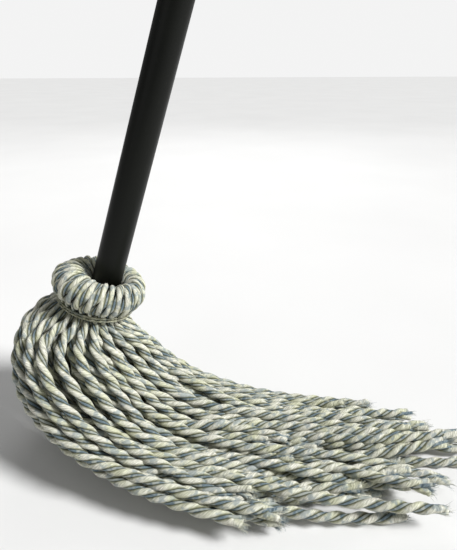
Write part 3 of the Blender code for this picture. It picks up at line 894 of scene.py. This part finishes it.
def build_yarns():
    """All folds, roots and strands. Every yarn has one set of rings, so its pieces meet where it is cut."""
    rng = np.random.default_rng(SEED + 2)
    run = sweep_line()[2]
    paths = laid_strands()
    lengths = strand_lengths(paths)
    fillers = softened(filling_yarns(paths, run), run)
    paths = softened(paths, run)
    yarn_mat = yarn_material("blended_yarn")
    nearest = set(np.argsort(paths[:, -1, 1])[:FRAYED].tolist())
    down = -np.array(UP_HANDLE)
    waist = np.array(on_axis(WAIST))
    roots = Threads()
    folds = [Threads() for _ in range(FOLD_PAIRS)]
    for i, path in enumerate(paths):
        outer = i < OUTER_STRANDS
        yarns = [yarn_along(path, lengths[i] - TIP_LENGTH, i if outer else None, rng)]
        if outer:
            beside = min(lengths[i], lengths[(i + 1) % OUTER_STRANDS])
            shorter = beside - TIP_LENGTH - rng.uniform(*FILL_SHORTER)
            yarns.append(yarn_along(fillers[i], shorter, None, rng))
        strand = Threads()
        for yarn in yarns:
            at_waist = int(np.argmin(np.abs(yarn.place_from_waist)))
            below = (yarn.points - waist) @ down
            cut = at_waist + int(np.argmax(below[at_waist:] > ROOT_DEPTH))
            end = len(yarn.places) - 1
            yarn.add_to(roots, at_waist, cut)
            yarn.add_to(strand, cut, end)
            tip_of(yarn, strand, end, rng, i in nearest)
            stray_hairs(yarn, strand, cut, end, rng)
        if outer:
            pair = ((2 - i) % OUTER_STRANDS) // 2
            yarns[0].add_to(folds[pair], 0, int(np.argmin(np.abs(yarns[0].place_from_waist))))
        name = f"strand_{i + 1:02d}"
        ob = piece(strand.mesh(f"yarn_{name}"), f"yarn_{name}", yarn_mat)
        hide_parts(name)
        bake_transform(ob)
    neck = piece(roots.mesh("yarn_neck"), "yarn_neck", yarn_mat)
    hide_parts("neck_bundle")
    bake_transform(neck)
    for number, threads in enumerate(folds):
        name = f"collar_fold_{number + 1:02d}"
        ob = piece(threads.mesh(f"yarn_{name}"), f"yarn_{name}", yarn_mat)
        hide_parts(name)
        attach(ob, "handle")


CORD_RING = 0.0302
CORD_RADIUS = 0.0011
CORD_TURNS = 2
CORD_PITCH = 0.0023
CORD_BOTTOM = WAIST + 0.0034
CORD_TWIST = 0.0062
TURN_PARTS = 60


def twine():
    """Waist cord: a three-ply twine wound round the yarns, with its ends tucked under."""
    steps = CORD_TURNS * TURN_PARTS
    points = []
    for i in range(steps + 1):
        angle = math.tau * i / TURN_PARTS
        tuck = 0.0022 * (1.0 - smooth_step(min(i, steps - i) / TURN_PARTS, 0.0, 0.08))
        ripple = 0.00025 * math.cos(angle * OUTER_STRANDS)
        reach = CORD_RING - tuck + ripple
        height = CORD_BOTTOM + CORD_PITCH * i / TURN_PARTS
        points.append(COLLAR_FRAME @ Vector((reach * math.cos(angle), reach * math.sin(angle), height)))
    points = np.array(points)
    places = run_along(points)
    _, normal, side = carried_axes(points, 0, np.array(UP_HANDLE))
    threads = Threads()
    for ply in range(3):
        turn = math.tau * (places / CORD_TWIST + ply / 3)
        out = np.cos(turn)[:, None] * normal + np.sin(turn)[:, None] * side
        middle = points + 0.46 * CORD_RADIUS * out
        _, ply_normal, ply_side = carried_axes(middle, 0, normal[0])
        radii = np.full((len(middle), 7), 0.56 * CORD_RADIUS)
        rings = round_rings(middle, radii, ply_normal, ply_side)
        threads.add(rings, ply + np.linspace(0.1, 0.9, 7), places, ply + 0.95)
    return threads


def build_cord():
    """The cord that ties the waist, grimy and tucked in under the collar."""
    cord_mat = yarn_material("cream_cord", blue=False, grime=0.55)
    ob = piece(twine().mesh("tied_waist_cord"), "tied_waist_cord", cord_mat)
    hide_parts("waist_cord")
    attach(ob, "handle")


TUBE_SIDES = 96
TUBE_ROWS = 24
TUBE_LIP = 0.0003


def build_handle():
    """The tube with a true round section, rolled ends and its coat."""
    top_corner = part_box("handle_tube")[1]
    top = (top_corner[2] - HANDLE_FRAME.translation.z - TUBE_RADIUS * math.sin(LEAN)) / math.cos(LEAN)
    bore = TUBE_RADIUS - TUBE_WALL
    bottom_lip = TUBE_BOTTOM + TUBE_LIP
    top_lip = top - TUBE_LIP
    profile = [(bore, bottom_lip), (bore + TUBE_LIP, TUBE_BOTTOM), (TUBE_RADIUS - TUBE_LIP, TUBE_BOTTOM),
               (TUBE_RADIUS, bottom_lip)]
    for k in range(1, TUBE_ROWS):
        profile.append((TUBE_RADIUS, TUBE_BOTTOM + (top - TUBE_BOTTOM) * k / TUBE_ROWS))
    profile += [(TUBE_RADIUS, top_lip), (TUBE_RADIUS - TUBE_LIP, top), (bore + TUBE_LIP, top),
                (bore, top_lip)]
    around = np.linspace(0.0, math.tau, TUBE_SIDES, endpoint=False)
    to_world = np.array(HANDLE_FRAME).T
    rings = []
    for radius, height in profile:
        across = (radius * np.cos(around), radius * np.sin(around))
        local = np.stack([*across, np.full(TUBE_SIDES, height), np.ones(TUBE_SIDES)], axis=1)
        rings.append((local @ to_world)[:, :3])
    rings.append(rings[0])
    threads = Threads()
    share = np.linspace(0, 1, TUBE_SIDES, endpoint=False)
    threads.add(np.array(rings)[::-1], share, np.linspace(0, 1, len(rings)), 1.0, close=False)
    ob = piece(threads.mesh("coated_tube"), "coated_tube", powder_coat())
    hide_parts("handle_tube")
    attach(ob, "handle")


def dress_cad_nodes():
    """Materials for the CAD nodes that are shown as they are."""
    finishes = {
        "hanger_cap": moulded_plastic(),
        "end_plug": turned_wood(),
        "retaining_pin": drawn_metal("bright_pin_steel", (0.42, 0.42, 0.41), (0.66, 0.66, 0.65), 0.22),
        "binding_wire": drawn_metal("galvanised_wire", (0.34, 0.36, 0.37), (0.60, 0.62, 0.63), 0.35),
    }
    for name, material in finishes.items():
        node = frame["nodes"][name]
        for slot in node.material_slots:
            slot.material = material


# ---------------------------------------------------------------- stage

FLOOR_HALF = 12.0
ROOM_LIGHT = 0.21
BACKDROP_LIGHT = 0.90
KEY_WAY = (-1.05, 0.45, -1.00)
KEY_STRENGTH = 4.4
KEY_SOFTNESS = math.radians(16.0)
LAMP_AIM = (-0.1, 0.0, 0.1)
# Soft lamps: name, place, size and power
LAMPS = (("fill", (-1.3, -0.9, 1.0), 1.2, 2.0), ("rim", (0.2, 1.4, 1.3), 1.0, 6.0))


def linked(name, data):
    """A new object in the scene that shows the given data."""
    ob = bpy.data.objects.new(name, data)
    bpy.context.scene.collection.objects.link(ob)
    return ob


def build_floor():
    """A large flat pale floor."""
    half = FLOOR_HALF
    corners = [(-half, -half, 0), (half, -half, 0), (half, half, 0), (-half, half, 0)]
    mesh = bpy.data.meshes.new("floor")
    mesh.from_pydata(corners, [], [(0, 1, 2, 3)])
    mesh.materials.append(floor_material())
    linked("floor", mesh)


def build_lights():
    """A dim room with a pale backdrop, a soft key from the right and two weak lamps."""
    world = bpy.data.worlds.new("studio")
    world.use_nodes = True
    tree = world.node_tree
    seen = tree.nodes.new("ShaderNodeLightPath").outputs["Is Camera Ray"]
    level = tree.nodes.new("ShaderNodeMapRange")
    level.inputs["To Min"].default_value = ROOM_LIGHT
    level.inputs["To Max"].default_value = BACKDROP_LIGHT
    tree.links.new(seen, level.inputs["Value"])
    tree.nodes["Background"].inputs["Color"].default_value = (1.0, 1.0, 1.0, 1.0)
    tree.links.new(level.outputs["Result"], tree.nodes["Background"].inputs["Strength"])
    bpy.context.scene.world = world
    bpy.context.scene.view_settings.view_transform = "Standard"
    key = bpy.data.lights.new("key", "SUN")
    key.energy = KEY_STRENGTH
    key.angle = KEY_SOFTNESS
    linked("key", key).rotation_euler = Vector(KEY_WAY).to_track_quat("-Z", "Y").to_euler()
    for name, place, size, power in LAMPS:
        light = bpy.data.lights.new(name, "AREA")
        light.size = size
        light.energy = power
        lamp = linked(name, light)
        lamp.location = place
        lamp.rotation_euler = (Vector(LAMP_AIM) - Vector(place)).to_track_quat("-Z", "Y").to_euler()


# Camera: its lens, its heading and dip, and its place to the right of, before and above the collar
LENS = 29.5
HEADING = math.radians(-9.5)
DIP = math.radians(25.0)
CAMERA_RIGHT = 0.1076
CAMERA_BEFORE = 0.3353
CAMERA_ABOVE = 0.1683


def build_camera():
    """A near, wide view that looks down on the head with the sweep running to the right."""
    camera = bpy.data.cameras.new("camera")
    camera.lens = LENS
    camera.sensor_width = 36.0
    camera.clip_start = 0.01
    ob = linked("camera", camera)
    right = Vector((math.cos(HEADING), math.sin(HEADING), 0))
    level = Vector((-math.sin(HEADING), math.cos(HEADING), 0))
    forward = level * math.cos(DIP) - Vector((0, 0, 1)) * math.sin(DIP)
    upward = right.cross(forward)
    place = COLLAR + right * CAMERA_RIGHT - level * CAMERA_BEFORE + Vector((0, 0, CAMERA_ABOVE))
    ob.matrix_world = Matrix((
        (right.x, upward.x, -forward.x, place.x),
        (right.y, upward.y, -forward.y, place.y),
        (right.z, upward.z, -forward.z, place.z),
        (0, 0, 0, 1)))
    bpy.context.scene.camera = ob


build_handle()
build_yarns()
build_cord()
dress_cad_nodes()
build_floor()
build_lights()
build_camera()
